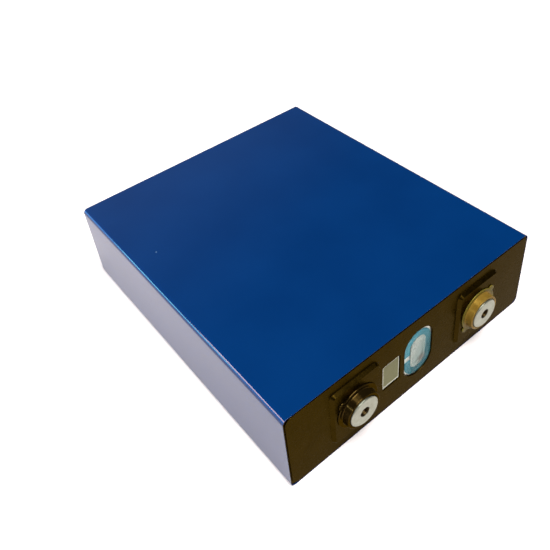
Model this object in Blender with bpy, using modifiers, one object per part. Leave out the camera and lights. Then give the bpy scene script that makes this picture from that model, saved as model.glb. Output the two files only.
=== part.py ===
"""A prismatic lithium battery cell, lying on one of its two large faces.

The cell is modelled upright in its own axes: X runs across its width, Y through its thickness, and Z up
out of the lid, with zero on the outer face of the lid cover. The empty cell_axes lays it down. In the
world the lid faces -Y, the base faces +Y, the cell rests on z = 0, and the origin is under its middle.
"""

import math

import bmesh
import bpy

MM = 0.001

# Overall size
WIDTH = 173.7 * MM
THICKNESS = 53.8 * MM
BODY_HEIGHT = 200.5 * MM
TERMINAL_HEIGHT = 7.0 * MM
CORNER_RADIUS = 3.0 * MM
BASE_RADIUS = 1.2 * MM

# Clearances between neighbours
GAP = 0.3 * MM
FILM_GAP = 0.1 * MM

# Walls and sheets
WRAP_WALL = 0.3 * MM
CAN_WALL = 0.8 * MM
BAG_WALL = 0.25 * MM
PATCH_THICKNESS = 0.2 * MM
PATCH_INSET = 2.5 * MM
COVER_THICKNESS = 0.7 * MM
LID_PLATE_THICKNESS = 2.2 * MM
INSULATOR_THICKNESS = 1.7 * MM
COLLECTOR_THICKNESS = 1.5 * MM
TAB_THICKNESS = 1.0 * MM
SUPPORT_THICKNESS = 0.95 * MM
SUPPORT_HOLE_RADIUS = 3.0 * MM
SUPPORT_HOLE_SPACING = 24.0 * MM
COLLECTOR_WIDTH = 46.0 * MM
COLLECTOR_LENGTH = 40.0 * MM
COLLECTOR_CORNER = 4.0 * MM
TAB_HALF_WIDTH = 17.0 * MM
TAB_BEND = 2.0 * MM
TAB_FOLD = 5.4 * MM

# Lid features
TERMINAL_X = 44.65 * MM
PLATEAU_WIDTH = 31.6 * MM
PLATEAU_LENGTH = 38.2 * MM
PLATEAU_HEIGHT = 1.8 * MM
PLATEAU_TAPER = 1.3 * MM
PLATEAU_CORNER = 3.0 * MM
PLATEAU_WALL = 1.8 * MM
VENT_FILM_WIDTH = 19.5 * MM
VENT_FILM_LENGTH = 32.6 * MM
VENT_FILM_MARGIN = 0.55 * MM
VENT_FILM_THICKNESS = 0.15 * MM
VENT_ADHESIVE_THICKNESS = 0.2 * MM
VENT_WINDOW_WIDTH = 11.1 * MM
VENT_WINDOW_LENGTH = 22.8 * MM
VENT_NOTCH = 3.9 * MM
VENT_FILM_X = 0.3 * MM
VENT_FILM_TURN = math.radians(2.0)
VENT_DISC_WIDTH = 13.0 * MM
VENT_DISC_LENGTH = 25.0 * MM
VENT_DISC_THICKNESS = 2.0 * MM
VENT_DISC_RIM = 1.4 * MM
VENT_POCKET_DEPTH = 0.8 * MM
VENT_MEMBRANE = 0.4 * MM
VENT_SCORE_INSET = 2.2 * MM
VENT_SCORE_WIDTH = 0.4 * MM
VENT_SCORE_DEPTH = 0.2 * MM
GUARD_SLOT_WIDTH = 2.0 * MM
GUARD_SLOT_LENGTH = 20.0 * MM
GUARD_SLOT_SPACING = 3.6 * MM
CODE_X = -19.6 * MM
CODE_WIDTH = 11.5 * MM
CODE_LENGTH = 17.6 * MM
CODE_MARGIN = 0.4 * MM
CODE_THICKNESS = 0.25 * MM
FILL_X = 21.0 * MM
FILL_HOLE_RADIUS = 1.6 * MM
FILL_CAP_RADIUS = 4.0 * MM
FILL_RECESS_DEPTH = 0.9 * MM

# Terminals
BLOCK_RADIUS = 8.7 * MM
BLOCK_CHAMFER = 0.4 * MM
THREAD_BORE_RADIUS = 2.5 * MM
THREAD_MOUTH_RADIUS = 3.1 * MM
THREAD_DEPTH = 5.1 * MM
DRILL_TIP = 0.7 * MM
COLLAR_RADIUS = 10.5 * MM
COLLAR_TOP = 6.3 * MM
COLLAR_EDGE = 0.7 * MM
COLLAR_FOOT = 0.4 * MM
FLANGE_RADIUS = 13.0 * MM
FLANGE_TOP = 2.5 * MM
EAR_REACH = 15.3 * MM
EAR_WIDTH = 4.4 * MM
EAR_ROUNDING = 1.8 * MM
EAR_ANGLE = math.radians(42.0)
POST_RADIUS = 5.0 * MM
POST_HEAD_RADIUS = 8.0 * MM
POST_HEAD_THICKNESS = 1.3 * MM
SEAL_RADIUS = 6.9 * MM
SEAL_FLANGE_RADIUS = 9.1 * MM

# Wound cores
CORE_TOP = -22.0 * MM
CORE_WIDTH = 165.0 * MM
CORE_THICKNESS = 24.4 * MM
CORE_SPACING = 24.9 * MM
TAPE_WIDTH = 20.0 * MM

# Levels worked out from the sizes above, as heights over the lid cover's outer face
BASE = -BODY_HEIGHT
WRAP_BASE = BASE + PATCH_THICKNESS + FILM_GAP
CAN_BASE = WRAP_BASE + WRAP_WALL + GAP
BAG_BASE = CAN_BASE + CAN_WALL + GAP
SUPPORT_BASE = BAG_BASE + BAG_WALL + GAP
CORE_BASE = SUPPORT_BASE + SUPPORT_THICKNESS + GAP
PLATE_TOP = -COVER_THICKNESS - GAP
PLATE_UNDERSIDE = PLATE_TOP - LID_PLATE_THICKNESS
INSULATOR_TOP = PLATE_UNDERSIDE - GAP
INSULATOR_UNDERSIDE = INSULATOR_TOP - INSULATOR_THICKNESS
COLLECTOR_TOP = INSULATOR_UNDERSIDE - GAP
COLLECTOR_UNDERSIDE = COLLECTOR_TOP - COLLECTOR_THICKNESS
POST_HEAD_TOP = COLLECTOR_UNDERSIDE - GAP
COLLAR_UNDERSIDE = PLATE_TOP + FILM_GAP
COLLAR_FLOOR = 0.2 * MM
BLOCK_UNDERSIDE = COLLAR_FLOOR + GAP
BAG_TOP = COLLECTOR_UNDERSIDE - 3.0 * MM

# Half sizes of the nested shells
CAN_INSET = WRAP_WALL + GAP
LID_INSET = CAN_INSET + CAN_WALL + GAP

# Mesh fineness
CORNER_STEPS = 4
HOLE_STEPS = 28
SMALL_HOLE_STEPS = 12
TURN_STEPS = 44
HIDDEN_TURN_STEPS = 24
FILLET_STEPS = 2
WELD_DISTANCE = 1e-6
SHARP_ANGLE = math.radians(35.0)


def clear_scene():
    for obj in list(bpy.data.objects):
        bpy.data.objects.remove(obj, do_unlink=True)


def new_collection(name):
    collection = bpy.data.collections.new(name)
    bpy.context.scene.collection.children.link(collection)
    return collection


def make_material(name, colour, roughness, metallic=0.0, alpha=1.0):
    material = bpy.data.materials.new(name)
    material.use_nodes = True
    shader = material.node_tree.nodes["Principled BSDF"]
    shader.inputs["Base Color"].default_value = (*colour, 1.0)
    shader.inputs["Roughness"].default_value = roughness
    shader.inputs["Metallic"].default_value = metallic
    shader.inputs["Alpha"].default_value = alpha
    material.diffuse_color = (*colour, alpha)
    return material


def arc(centre_x, centre_y, radius, start_degrees, end_degrees, steps):
    """Points of an arc, both ends included."""
    points = []
    for step in range(steps + 1):
        angle = math.radians(start_degrees + (end_degrees - start_degrees) * step / steps)
        points.append((centre_x + radius * math.cos(angle), centre_y + radius * math.sin(angle)))
    return points


def circle(centre_x, centre_y, radius, steps=HOLE_STEPS):
    return arc(centre_x, centre_y, radius, 0, 360, steps)[:-1]


def rounded_rectangle(width, length, radius, centre_x=0.0, centre_y=0.0, steps=CORNER_STEPS):
    """An outline of width along X and length along Y."""
    right = width / 2 - radius
    top = length / 2 - radius
    points = []
    for corner, (x, y) in enumerate(((right, top), (-right, top), (-right, -top), (right, -top))):
        points += arc(centre_x + x, centre_y + y, radius, 90 * corner, 90 * corner + 90, steps)
    return points


def stadium(width, length, centre_x=0.0, centre_y=0.0, steps=HOLE_STEPS // 2):
    """A slot outline with round ends, whichever of its two sides is the longer."""
    radius = min(width, length) / 2
    reach = abs(length - width) / 2
    if length >= width:
        return arc(centre_x, centre_y + reach, radius, 0, 180, steps) + arc(
            centre_x, centre_y - reach, radius, 180, 360, steps
        )
    return arc(centre_x - reach, centre_y, radius, 90, 270, steps) + arc(
        centre_x + reach, centre_y, radius, -90, 90, steps
    )


def fillet(centre_radius, centre_height, radius, start_degrees, end_degrees):
    return arc(centre_radius, centre_height, radius, start_degrees, end_degrees, FILLET_STEPS)


def bake(source, name, collection):
    """Turns a curve or a modified object into a plain mesh object of this name, with its seams welded."""
    bpy.context.view_layer.update()
    graph = bpy.context.evaluated_depsgraph_get()
    mesh = bpy.data.meshes.new_from_object(source.evaluated_get(graph))
    work = bmesh.new()
    work.from_mesh(mesh)
    bmesh.ops.remove_doubles(work, verts=work.verts, dist=WELD_DISTANCE)
    work.to_mesh(mesh)
    work.free()
    mesh.name = name
    mesh.shade_smooth()
    mesh.set_sharp_from_angle(angle=SHARP_ANGLE)
    baked = bpy.data.objects.new(name, mesh)
    baked.matrix_world = source.matrix_world
    collection.objects.link(baked)
    bpy.data.objects.remove(source, do_unlink=True)
    return baked


def flat_plate(name, outlines, low, high, collection):
    """A flat piece between two heights. The first outline is its edge and the others are its holes."""
    curve = bpy.data.curves.new(name + "_outline", "CURVE")
    curve.dimensions = "2D"
    curve.fill_mode = "BOTH"
    curve.extrude = (high - low) / 2
    for outline in outlines:
        spline = curve.splines.new("POLY")
        spline.points.add(len(outline) - 1)
        for point, (x, y) in zip(spline.points, outline):
            point.co = (x, y, 0.0, 1.0)
        spline.use_cyclic_u = True
    guide = bpy.data.objects.new(name + "_outline", curve)
    guide.location.z = (high + low) / 2
    collection.objects.link(guide)
    return bake(guide, name, collection)


def turned_piece(name, profile, closed, steps, collection):
    """A profile of (radius, height) points, which runs down its outer side, turned about local Z."""
    mesh = bpy.data.meshes.new(name + "_profile")
    work = bmesh.new()
    ring = [work.verts.new((radius, 0.0, height)) for radius, height in profile]
    for first, second in zip(ring, ring[1:]):
        work.edges.new((first, second))
    if closed:
        work.edges.new((ring[-1], ring[0]))
    work.to_mesh(mesh)
    work.free()
    guide = bpy.data.objects.new(name + "_profile", mesh)
    collection.objects.link(guide)
    screw = guide.modifiers.new("Turn", "SCREW")
    screw.steps = steps
    screw.render_steps = steps
    screw.use_merge_vertices = True
    screw.merge_threshold = WELD_DISTANCE
    return bake(guide, name, collection)


def open_box(name, width, depth, low, high, corner, base_edge, wall, collection):
    """A box with an open top: an open surface of the outer size, thickened inwards by a Solidify."""
    mesh = bpy.data.meshes.new(name)
    work = bmesh.new()
    bmesh.ops.create_cube(work, size=1.0)
    bmesh.ops.scale(work, vec=(width, depth, high - low), verts=work.verts)
    bmesh.ops.translate(work, vec=(0.0, 0.0, (high + low) / 2), verts=work.verts)
    top = max(work.faces, key=lambda face: face.calc_center_median().z)
    bmesh.ops.delete(work, geom=[top], context="FACES_ONLY")
    upright = [edge for edge in work.edges if edge.verts[0].co.z != edge.verts[1].co.z]
    round_edges(work, upright, corner, CORNER_STEPS)
    lowest = min(vertex.co.z for vertex in work.verts)
    base = [edge for edge in work.edges if all(vertex.co.z == lowest for vertex in edge.verts)]
    round_edges(work, base, base_edge, FILLET_STEPS)
    work.to_mesh(mesh)
    work.free()
    mesh.shade_smooth()
    mesh.set_sharp_from_angle(angle=SHARP_ANGLE)
    box = bpy.data.objects.new(name, mesh)
    collection.objects.link(box)
    thicken = box.modifiers.new("Wall", "SOLIDIFY")
    thicken.thickness = wall
    thicken.offset = -1.0
    thicken.use_even_offset = True
    return box


def round_edges(work, edges, radius, segments):
    bmesh.ops.bevel(
        work, geom=edges, offset=radius, offset_type="OFFSET", segments=segments, profile=0.5, affect="EDGES"
    )


def tapered_block(name, width, length, corner, taper, low, high, collection):
    """A rounded block whose four sides lean in by taper from low to high."""
    mesh = bpy.data.meshes.new(name)
    work = bmesh.new()
    bmesh.ops.create_cube(work, size=1.0)
    bmesh.ops.scale(work, vec=(width, length, high - low), verts=work.verts)
    bmesh.ops.translate(work, vec=(0.0, 0.0, (high + low) / 2), verts=work.verts)
    upright = [edge for edge in work.edges if edge.verts[0].co.z != edge.verts[1].co.z]
    round_edges(work, upright, corner, CORNER_STEPS)
    middle = (high + low) / 2
    for vertex in work.verts:
        if vertex.co.z > middle:
            vertex.co.x *= 1 - 2 * taper / width
            vertex.co.y *= 1 - 2 * taper / length
    work.to_mesh(mesh)
    work.free()
    block = bpy.data.objects.new(name, mesh)
    collection.objects.link(block)
    return block


def helper(obj, cutters):
    """Keeps an object that only cuts or joins another out of the render."""
    for collection in list(obj.users_collection):
        collection.objects.unlink(obj)
    cutters.objects.link(obj)
    obj.hide_render = True
    obj.display_type = "WIRE"
    return obj


def add_boolean(obj, other, operation):
    boolean = obj.modifiers.new(other.name, "BOOLEAN")
    boolean.operation = operation
    boolean.object = other


def finish(obj, axes, material, x=0.0, y=0.0, turn=0.0):
    """Hangs a piece or a cutter on the cell's axes, and gives it its material."""
    obj.parent = axes
    obj.location.x = x
    obj.location.y = y
    obj.rotation_euler.z = turn
    obj.data.materials.clear()
    if material:
        obj.data.materials.append(material)
    return obj


def build_shells(axes, parts, materials):
    """The blue film, its patch on the base, the drawn can and the bag inside it."""
    wrap = open_box(
        "film_wrap", WIDTH, THICKNESS, WRAP_BASE, 0.0, CORNER_RADIUS, BASE_RADIUS, WRAP_WALL, parts
    )
    finish(wrap, axes, materials["blue_film"])
    patch_outline = rounded_rectangle(WIDTH - 2 * PATCH_INSET, THICKNESS - 2 * PATCH_INSET, CORNER_RADIUS)
    patch = flat_plate("base_patch", [patch_outline], BASE, BASE + PATCH_THICKNESS, parts)
    finish(patch, axes, materials["base_patch"])
    can = open_box(
        "can",
        WIDTH - 2 * CAN_INSET,
        THICKNESS - 2 * CAN_INSET,
        CAN_BASE,
        PLATE_TOP,
        CORNER_RADIUS - CAN_INSET,
        BASE_RADIUS,
        CAN_WALL,
        parts,
    )
    finish(can, axes, materials["can_aluminium"])
    bag = open_box(
        "insulation_bag",
        WIDTH - 2 * LID_INSET,
        THICKNESS - 2 * LID_INSET,
        BAG_BASE,
        BAG_TOP,
        CORNER_RADIUS - CAN_INSET - CAN_WALL,
        BASE_RADIUS,
        BAG_WALL,
        parts,
    )
    finish(bag, axes, materials["bag_film"])
    support_inset = LID_INSET + BAG_WALL + GAP
    support_outline = rounded_rectangle(
        WIDTH - 2 * support_inset - BASE_RADIUS, THICKNESS - 2 * support_inset - BASE_RADIUS, BASE_RADIUS
    )
    drain_holes = [
        circle(step * SUPPORT_HOLE_SPACING, 0.0, SUPPORT_HOLE_RADIUS, SMALL_HOLE_STEPS) for step in range(-3, 4)
    ]
    support = flat_plate(
        "support_plate",
        [support_outline] + drain_holes,
        SUPPORT_BASE,
        SUPPORT_BASE + SUPPORT_THICKNESS,
        parts,
    )
    finish(support, axes, materials["white_plastic"])


def build_lid_plate(axes, parts, cutters, materials):
    """The plate welded into the can's mouth, with its terminal, vent and filling holes."""
    outline = rounded_rectangle(
        WIDTH - 2 * LID_INSET, THICKNESS - 2 * LID_INSET, CORNER_RADIUS - CAN_INSET - CAN_WALL
    )
    holes = [
        circle(-TERMINAL_X, 0.0, SEAL_RADIUS + GAP),
        circle(TERMINAL_X, 0.0, SEAL_RADIUS + GAP),
        stadium(VENT_DISC_WIDTH + 2 * GAP, VENT_DISC_LENGTH + 2 * GAP),
        circle(FILL_X, 0.0, FILL_HOLE_RADIUS, SMALL_HOLE_STEPS),
    ]
    plate = flat_plate("lid_plate", [outline] + holes, PLATE_UNDERSIDE, PLATE_TOP, parts)
    finish(plate, axes, materials["lid_aluminium"])
    recess_floor = PLATE_TOP - FILL_RECESS_DEPTH
    recess = flat_plate(
        "fill_recess", [circle(FILL_X, 0.0, FILL_CAP_RADIUS + GAP)], recess_floor, PLATE_TOP + MM, parts
    )
    finish(helper(recess, cutters), axes, None)
    add_boolean(plate, recess, "DIFFERENCE")
    cap = flat_plate(
        "fill_seal_cap",
        [circle(FILL_X, 0.0, FILL_CAP_RADIUS)],
        recess_floor + FILM_GAP,
        PLATE_TOP - FILM_GAP,
        parts,
    )
    finish(cap, axes, materials["lid_aluminium"])
    plug_top = recess_floor - 0.05 * MM
    plug_radius = FILL_HOLE_RADIUS - GAP
    plug_edge = 0.2 * MM
    plug_profile = [
        (0.0, plug_top),
        (plug_radius - plug_edge, plug_top),
        (plug_radius, plug_top - plug_edge),
        (plug_radius, PLATE_UNDERSIDE + plug_edge),
        (plug_radius - 2 * plug_edge, PLATE_UNDERSIDE - plug_edge),
        (0.0, PLATE_UNDERSIDE - plug_edge),
    ]
    plug = turned_piece("fill_plug", plug_profile, False, SMALL_HOLE_STEPS, parts)
    finish(plug, axes, materials["seal_rubber"], x=FILL_X)


def inset_vent(inset):
    """The outline of the burst disc, moved inwards."""
    return stadium(VENT_DISC_WIDTH - 2 * inset, VENT_DISC_LENGTH - 2 * inset)


def build_vent(axes, parts, cutters, materials):
    """The scored burst disc in the lid plate, and the clear film on its ring of adhesive over it."""
    disc_underside = PLATE_TOP - VENT_DISC_THICKNESS
    disc = flat_plate("vent_disc", [inset_vent(0.0)], disc_underside, PLATE_TOP, parts)
    finish(disc, axes, materials["vent_aluminium"])
    pocket = inset_vent(VENT_DISC_RIM)
    score = [inset_vent(VENT_SCORE_INSET), inset_vent(VENT_SCORE_INSET + VENT_SCORE_WIDTH)]
    membrane_top = PLATE_TOP - VENT_POCKET_DEPTH
    score_floor = membrane_top - VENT_SCORE_DEPTH
    cuts = (
        ("vent_pocket_upper", [pocket], membrane_top, PLATE_TOP + MM),
        ("vent_pocket_lower", [pocket], disc_underside - MM, membrane_top - VENT_MEMBRANE),
        ("vent_score", score, score_floor, membrane_top + VENT_SCORE_DEPTH),
    )
    for name, outlines, low, high in cuts:
        cutter = flat_plate(name, outlines, low, high, parts)
        finish(helper(cutter, cutters), axes, None)
        add_boolean(disc, cutter, "DIFFERENCE")

    film_outline = stadium(VENT_FILM_WIDTH, VENT_FILM_LENGTH)
    window_outline = stadium(VENT_WINDOW_WIDTH, VENT_WINDOW_LENGTH)
    ring_low = PLATE_TOP + FILM_GAP
    ring_high = ring_low + VENT_ADHESIVE_THICKNESS
    ring = flat_plate("vent_film_adhesive", [film_outline, window_outline], ring_low, ring_high, parts)
    finish(ring, axes, materials["teal_adhesive"], x=VENT_FILM_X, turn=VENT_FILM_TURN)
    notch_corner = VENT_NOTCH / 12
    notch_outline = rounded_rectangle(VENT_FILM_WIDTH / 2, VENT_NOTCH, notch_corner, -VENT_FILM_WIDTH / 2)
    notch = flat_plate("vent_film_notch", [notch_outline], ring_low - MM, ring_high + MM, parts)
    finish(helper(notch, cutters), axes, None, x=VENT_FILM_X, turn=VENT_FILM_TURN)
    add_boolean(ring, notch, "DIFFERENCE")
    film_low = ring_high + FILM_GAP
    film = flat_plate("vent_film", [film_outline], film_low, film_low + VENT_FILM_THICKNESS, parts)
    finish(film, axes, materials["clear_film"], x=VENT_FILM_X, turn=VENT_FILM_TURN)


def build_cover(axes, parts, cutters, materials):
    """The black lid cover, raised round each terminal, with windows for the vent and the blank code."""
    outline = rounded_rectangle(WIDTH - 2 * CAN_INSET, THICKNESS - 2 * CAN_INSET, CORNER_RADIUS - CAN_INSET)
    vent_window = stadium(VENT_FILM_WIDTH + 2 * VENT_FILM_MARGIN, VENT_FILM_LENGTH + 2 * VENT_FILM_MARGIN)
    code_window = rounded_rectangle(
        CODE_WIDTH + 2 * CODE_MARGIN, CODE_LENGTH + 2 * CODE_MARGIN, 2 * CODE_MARGIN, CODE_X
    )
    cover = flat_plate("lid_cover", [outline, vent_window, code_window], -COVER_THICKNESS, 0.0, parts)
    finish(cover, axes, materials["black_cover"])
    overlap = COVER_THICKNESS / 2
    for side, x in (("negative", -TERMINAL_X), ("positive", TERMINAL_X)):
        plateau = tapered_block(
            side + "_plateau",
            PLATEAU_WIDTH,
            PLATEAU_LENGTH,
            PLATEAU_CORNER,
            PLATEAU_TAPER,
            -overlap,
            PLATEAU_HEIGHT,
            parts,
        )
        hollow = tapered_block(
            side + "_plateau_hollow",
            PLATEAU_WIDTH - 2 * PLATEAU_WALL,
            PLATEAU_LENGTH - 2 * PLATEAU_WALL,
            PLATEAU_CORNER - PLATEAU_WALL / 2,
            PLATEAU_TAPER,
            -COVER_THICKNESS - MM,
            PLATEAU_HEIGHT - COVER_THICKNESS,
            parts,
        )
        collar_hole = flat_plate(
            side + "_collar_hole",
            [circle(0.0, 0.0, COLLAR_RADIUS + GAP)],
            -COVER_THICKNESS - MM,
            PLATEAU_HEIGHT + MM,
            parts,
        )
        for cutter, operation in ((plateau, "UNION"), (hollow, "DIFFERENCE"), (collar_hole, "DIFFERENCE")):
            finish(helper(cutter, cutters), axes, None, x=x)
            add_boolean(cover, cutter, operation)
    label_low = PLATE_TOP + FILM_GAP
    label = flat_plate(
        "code_label",
        [rounded_rectangle(CODE_WIDTH, CODE_LENGTH, CODE_MARGIN, CODE_X)],
        label_low,
        label_low + CODE_THICKNESS,
        parts,
    )
    finish(label, axes, materials["blank_label"])


def collar_profile():
    """The insulating collar: a cup round the terminal block with a flange on the lid cover."""
    bore = BLOCK_RADIUS + GAP
    flange_underside = PLATEAU_HEIGHT + FILM_GAP
    foot = COLLAR_FOOT
    return (
        [(bore, COLLAR_TOP)]
        + fillet(COLLAR_RADIUS - COLLAR_EDGE, COLLAR_TOP - COLLAR_EDGE, COLLAR_EDGE, 90, 0)
        + fillet(COLLAR_RADIUS + foot, FLANGE_TOP + foot, foot, 180, 270)
        + fillet(FLANGE_RADIUS - foot, FLANGE_TOP - foot, foot, 90, 0)
        + [
            (FLANGE_RADIUS, flange_underside),
            (COLLAR_RADIUS, flange_underside),
            (COLLAR_RADIUS, COLLAR_UNDERSIDE),
            (POST_RADIUS + GAP, COLLAR_UNDERSIDE),
            (POST_RADIUS + GAP, COLLAR_FLOOR),
            (bore, COLLAR_FLOOR),
        ]
    )


def block_profile():
    """The terminal block, with its tapped hole down the middle."""
    thread_end = TERMINAL_HEIGHT - THREAD_DEPTH
    mouth = THREAD_MOUTH_RADIUS - THREAD_BORE_RADIUS
    return [
        (0.0, thread_end - DRILL_TIP),
        (THREAD_BORE_RADIUS, thread_end),
        (THREAD_BORE_RADIUS, TERMINAL_HEIGHT - mouth),
        (THREAD_MOUTH_RADIUS, TERMINAL_HEIGHT),
        (BLOCK_RADIUS - BLOCK_CHAMFER, TERMINAL_HEIGHT),
        (BLOCK_RADIUS, TERMINAL_HEIGHT - BLOCK_CHAMFER),
        (BLOCK_RADIUS, BLOCK_UNDERSIDE),
        (0.0, BLOCK_UNDERSIDE),
    ]


def post_profile():
    """The riveted post, whose head holds the collector up against the lower insulator."""
    return [
        (0.0, COLLAR_FLOOR),
        (POST_RADIUS, COLLAR_FLOOR),
        (POST_RADIUS, POST_HEAD_TOP),
        (POST_HEAD_RADIUS, POST_HEAD_TOP),
        (POST_HEAD_RADIUS, POST_HEAD_TOP - POST_HEAD_THICKNESS),
        (0.0, POST_HEAD_TOP - POST_HEAD_THICKNESS),
    ]


def seal_profile():
    """The rubber seal between post and lid plate, with a flange under the plate."""
    inner = POST_RADIUS + GAP
    top = COLLAR_UNDERSIDE - GAP
    return [
        (inner, top),
        (SEAL_RADIUS, top),
        (SEAL_RADIUS, INSULATOR_TOP),
        (SEAL_FLANGE_RADIUS, INSULATOR_TOP),
        (SEAL_FLANGE_RADIUS, INSULATOR_UNDERSIDE),
        (inner, INSULATOR_UNDERSIDE),
    ]


def add_ears(collar, side, ear_angle, axes, parts, cutters, x):
    """Two rounded ears across the flange of a collar, on one diagonal."""
    root = COLLAR_RADIUS + 2 * COLLAR_FOOT
    reach = EAR_REACH - root
    middle = (EAR_REACH + root) / 2
    step = 0.05 * MM
    ears = flat_plate(
        side + "_ears",
        [rounded_rectangle(reach, EAR_WIDTH, EAR_ROUNDING, sign * middle) for sign in (-1, 1)],
        PLATEAU_HEIGHT + FILM_GAP + step,
        FLANGE_TOP - step,
        parts,
    )
    finish(helper(ears, cutters), axes, None, x=x, turn=ear_angle)
    add_boolean(collar, ears, "UNION")


def build_terminal(side, x, ear_angle, axes, parts, cutters, materials):
    """One terminal from the threaded block down to the collector, all on one line through the lid."""
    collar = turned_piece(side + "_collar", collar_profile(), True, TURN_STEPS, parts)
    finish(collar, axes, materials[side + "_collar"], x=x)
    add_ears(collar, side, ear_angle, axes, parts, cutters, x)
    block = turned_piece(side + "_terminal", block_profile(), False, TURN_STEPS, parts)
    finish(block, axes, materials["terminal_aluminium"], x=x)
    post = turned_piece(side + "_rivet_post", post_profile(), False, HIDDEN_TURN_STEPS, parts)
    finish(post, axes, materials[side + "_metal"], x=x)
    seal = turned_piece(side + "_seal_ring", seal_profile(), True, HIDDEN_TURN_STEPS, parts)
    finish(seal, axes, materials["seal_rubber"], x=x)
    outline = rounded_rectangle(COLLECTOR_WIDTH, COLLECTOR_LENGTH, COLLECTOR_CORNER)
    post_hole = circle(0.0, 0.0, POST_RADIUS + GAP)
    collector = flat_plate(
        side + "_collector", [outline, post_hole], COLLECTOR_UNDERSIDE, COLLECTOR_TOP, parts
    )
    finish(collector, axes, materials[side + "_metal"], x=x)


def build_insulator(axes, parts, materials):
    """The plastic plate under the lid plate, with a slotted guard under the vent."""
    outline = rounded_rectangle(WIDTH - 2 * LID_INSET, THICKNESS - 2 * LID_INSET, CORNER_RADIUS - CAN_INSET)
    holes = [
        circle(-TERMINAL_X, 0.0, SEAL_FLANGE_RADIUS + GAP),
        circle(TERMINAL_X, 0.0, SEAL_FLANGE_RADIUS + GAP),
        circle(FILL_X, 0.0, FILL_HOLE_RADIUS + MM, SMALL_HOLE_STEPS),
    ]
    for step in (-1, 0, 1):
        holes.append(stadium(GUARD_SLOT_WIDTH, GUARD_SLOT_LENGTH, step * GUARD_SLOT_SPACING, steps=4))
    insulator = flat_plate("lower_insulator", [outline] + holes, INSULATOR_UNDERSIDE, INSULATOR_TOP, parts)
    finish(insulator, axes, materials["white_plastic"])


def folded_tab(name, x, core_y, material, axes, parts):
    """A stack of foil tabs that rises from a core and folds outwards under the collector."""
    outwards = math.copysign(1.0, core_y)
    top = COLLECTOR_UNDERSIDE - GAP - TAB_THICKNESS / 2
    corner = arc(TAB_BEND, top - TAB_BEND, TAB_BEND, 180, 90, 2 * FILLET_STEPS)
    path = [(0.0, CORE_TOP + GAP)] + corner + [(TAB_FOLD, top)]
    mesh = bpy.data.meshes.new(name)
    work = bmesh.new()
    spine = [work.verts.new((-TAB_HALF_WIDTH, outwards * y, z)) for y, z in path]
    edges = [work.edges.new(pair) for pair in zip(spine, spine[1:])]
    swept = bmesh.ops.extrude_edge_only(work, edges=edges)
    moved = [item for item in swept["geom"] if isinstance(item, bmesh.types.BMVert)]
    bmesh.ops.translate(work, vec=(2 * TAB_HALF_WIDTH, 0.0, 0.0), verts=moved)
    bmesh.ops.recalc_face_normals(work, faces=work.faces)
    work.to_mesh(mesh)
    work.free()
    tab = bpy.data.objects.new(name, mesh)
    parts.objects.link(tab)
    thicken = tab.modifiers.new("Foils", "SOLIDIFY")
    thicken.thickness = TAB_THICKNESS
    thicken.offset = 0.0
    thicken.use_even_offset = True
    finish(tab, axes, material, x=x, y=core_y)


def build_cores(axes, parts, materials):
    """Two flat wound cores side by side, each with a turn of tape and a tab to either terminal."""
    for level, core_y in (("lower", -CORE_SPACING / 2), ("upper", CORE_SPACING / 2)):
        core = flat_plate(
            "wound_core_" + level, [stadium(CORE_WIDTH, CORE_THICKNESS)], CORE_BASE, CORE_TOP, parts
        )
        finish(core, axes, materials["wound_core"], y=core_y)
        inner = stadium(CORE_WIDTH + FILM_GAP, CORE_THICKNESS + FILM_GAP)
        outer = stadium(CORE_WIDTH + 3 * FILM_GAP, CORE_THICKNESS + 3 * FILM_GAP)
        middle = (CORE_BASE + CORE_TOP) / 2
        tape = flat_plate(
            "core_tape_" + level, [outer, inner], middle - TAPE_WIDTH / 2, middle + TAPE_WIDTH / 2, parts
        )
        finish(tape, axes, materials["core_tape"], y=core_y)
        for side, x in (("negative", -TERMINAL_X), ("positive", TERMINAL_X)):
            folded_tab(side + "_tab_" + level, x, core_y, materials[side + "_metal"], axes, parts)


def build_materials():
    aluminium = (0.80, 0.80, 0.78)
    copper = (0.72, 0.40, 0.26)
    return {
        "blue_film": make_material("blue_film", (0.003, 0.036, 0.19), 0.35),
        "base_patch": make_material("base_patch", (0.003, 0.03, 0.16), 0.4),
        "can_aluminium": make_material("can_aluminium", aluminium, 0.35, 1.0),
        "lid_aluminium": make_material("lid_aluminium", aluminium, 0.4, 1.0),
        "vent_aluminium": make_material("vent_aluminium", aluminium, 0.5, 1.0),
        "terminal_aluminium": make_material("terminal_aluminium", (0.85, 0.84, 0.80), 0.35, 1.0),
        "bag_film": make_material("bag_film", (0.75, 0.78, 0.80), 0.4, 0.0, 0.6),
        "white_plastic": make_material("white_plastic", (0.75, 0.75, 0.72), 0.5),
        "black_cover": make_material("black_cover", (0.02, 0.015, 0.006), 0.5),
        "blank_label": make_material("blank_label", (0.25, 0.24, 0.15), 0.6),
        "teal_adhesive": make_material("teal_adhesive", (0.06, 0.31, 0.42), 0.3),
        "clear_film": make_material("clear_film", (0.85, 0.9, 0.88), 0.15, 0.0, 0.35),
        "seal_rubber": make_material("seal_rubber", (0.03, 0.03, 0.03), 0.7),
        "negative_collar": make_material("negative_collar", (0.01, 0.008, 0.006), 0.3),
        "positive_collar": make_material("positive_collar", (0.30, 0.19, 0.07), 0.3),
        "negative_metal": make_material("negative_metal", copper, 0.4, 1.0),
        "positive_metal": make_material("positive_metal", aluminium, 0.4, 1.0),
        "wound_core": make_material("wound_core", (0.55, 0.55, 0.52), 0.7),
        "core_tape": make_material("core_tape", (0.05, 0.28, 0.12), 0.5),
    }


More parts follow.
